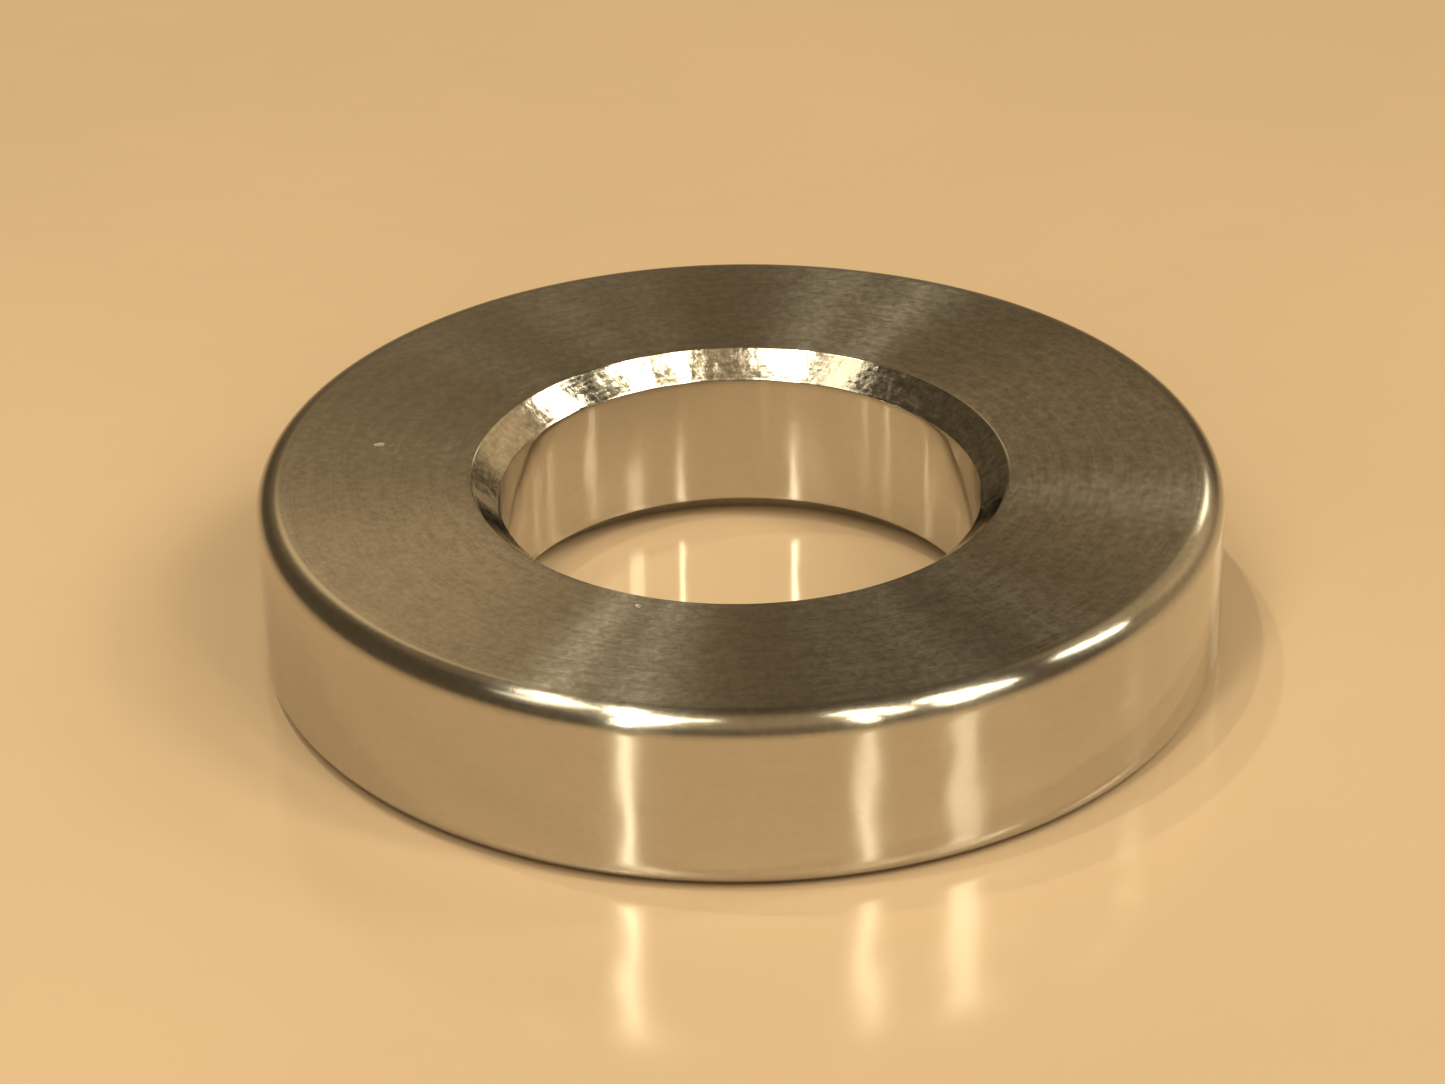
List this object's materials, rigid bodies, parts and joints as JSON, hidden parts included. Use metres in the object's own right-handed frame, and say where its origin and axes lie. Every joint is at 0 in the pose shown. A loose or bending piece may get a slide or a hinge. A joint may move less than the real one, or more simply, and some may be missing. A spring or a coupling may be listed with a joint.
{
  "type": "shaft collar",
  "caption": "Plain solid turned steel collar: a flat ring with a chamfered through bore and rounded outer edges.",
  "frame": {"origin": "centre of the bore on the bottom face, the one that the collar stands on", "axes": "+Z along the bore, from the bottom face to the top face; the ring is round about Z, so +X and +Y are any two square directions"},
  "size_m": [0.036, 0.036, 0.007],
  "materials": {
    "turned_steel": "flat faces faced on a lathe with a fine concentric lay, outside and bore polished"
  },
  "bodies": {
    "root": {"collar_ring": "turned_steel"}
  },
  "joints": []
}
